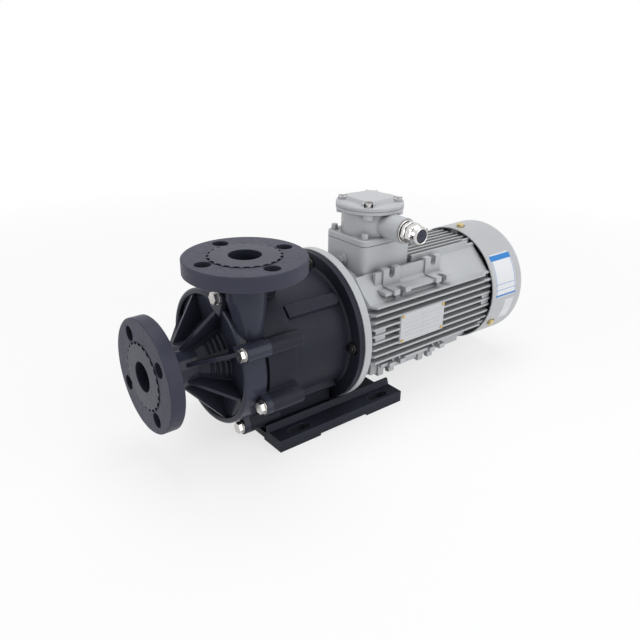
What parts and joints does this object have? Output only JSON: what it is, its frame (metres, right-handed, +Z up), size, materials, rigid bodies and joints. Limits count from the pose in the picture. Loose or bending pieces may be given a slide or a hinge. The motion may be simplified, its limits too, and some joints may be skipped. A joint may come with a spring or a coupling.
{
  "type": "magnetic drive pump",
  "caption": "Close-coupled magnetic drive pump with flanged end suction and upright discharge, a slotted base and a finned flange-mounted motor.",
  "frame": {"origin": "centre of the base plate's four slots, on the plate's underside", "axes": "+X along the shaft line from the suction flange towards the motor's fan, +Z up along the discharge pipe, -Y towards the side with the cable gland and rating plate"},
  "size_m": [0.6, 0.2321, 0.2786],
  "materials": {
    "casing_plastic": "satin moulded fibre-filled plastic",
    "flange_plastic": "satin moulded fibre-filled plastic",
    "impeller_plastic": "satin moulding",
    "wear_ring": "smooth turned ring",
    "ceramic": "ground ceramic",
    "carbon": "matte carbon",
    "seal_rubber": "matte rubber",
    "bracket_paint": "satin black paint",
    "base_paint": "satin black paint",
    "stainless": "bright stainless steel",
    "zinc_yellow": "yellow passivated zinc",
    "rivet_brass": "dull brass",
    "motor_paint": "light grey satin paint",
    "gland_metal": "nickel plate",
    "plate_metal": "satin aluminium",
    "core_steel": "bare laminated steel",
    "yoke_steel": "oiled machined iron",
    "magnet": "dull sintered magnet",
    "copper": "varnished copper",
    "bearing_steel": "polished steel",
    "shaft_steel": "ground steel",
    "fan_plastic": "matte black moulding",
    "insulator": "brown moulded insulation"
  },
  "bodies": {
    "root": {"suction_flange": "flange_plastic", "discharge_flange": "flange_plastic", "front_casing": "casing_plastic", "casing_liner_ring": "wear_ring", "pump_shaft": "ceramic", "front_thrust_ring": "ceramic", "rear_casing": "casing_plastic", "casing_o_ring": "seal_rubber", "bracket": "bracket_paint", "casing_washers": "stainless", "casing_bolts": "stainless", "base_plate": "base_paint", "base_bolts": "stainless", "drive_end_shield": "motor_paint", "flange_studs": "stainless", "flange_nuts": "stainless", "motor_frame": "motor_paint", "earth_screw": "stainless", "stator_core": "core_steel", "stator_windings": "copper", "bearing_outer_rings": "bearing_steel", "fan_end_shield": "motor_paint", "fan_cowl": "motor_paint", "cowl_screws": "zinc_yellow", "terminal_box": "motor_paint", "terminal_block": "insulator", "box_gasket": "seal_rubber", "terminal_turret": "motor_paint", "box_screws": "stainless", "terminal_cover": "motor_paint", "cover_screws": "stainless", "gland_ring": "gland_metal", "gland_body": "gland_metal", "gland_nut": "gland_metal", "gland_plug": "seal_rubber", "rating_plate": "plate_metal", "plate_rivets": "rivet_brass"},
    "motor_rotor": {"motor_shaft": "shaft_steel", "shaft_key": "shaft_steel", "rotor_core": "core_steel", "bearing_inner_rings": "bearing_steel", "cooling_fan": "fan_plastic", "drive_magnet_yoke": "yoke_steel", "drive_magnets": "magnet", "cup_retaining_screw": "stainless"},
    "impeller_rotor": {"impeller": "impeller_plastic", "impeller_mouth_ring": "wear_ring", "magnet_capsule": "impeller_plastic", "capsule_magnets": "magnet", "shaft_bush": "carbon"}
  },
  "joints": [
    {"name": "motor_spin", "type": "hinge", "parent": "root", "child": "motor_rotor", "pos_m": [0, 0, 0.1145], "axis": [1, 0, 0], "continuous": true},
    {"name": "impeller_spin", "type": "hinge", "parent": "root", "child": "impeller_rotor", "pos_m": [0, 0, 0.1145], "axis": [1, 0, 0], "continuous": true}
  ],
  "couplings": [
    {"joint": "impeller_spin", "follows": "motor_spin", "ratio": 1}
  ]
}
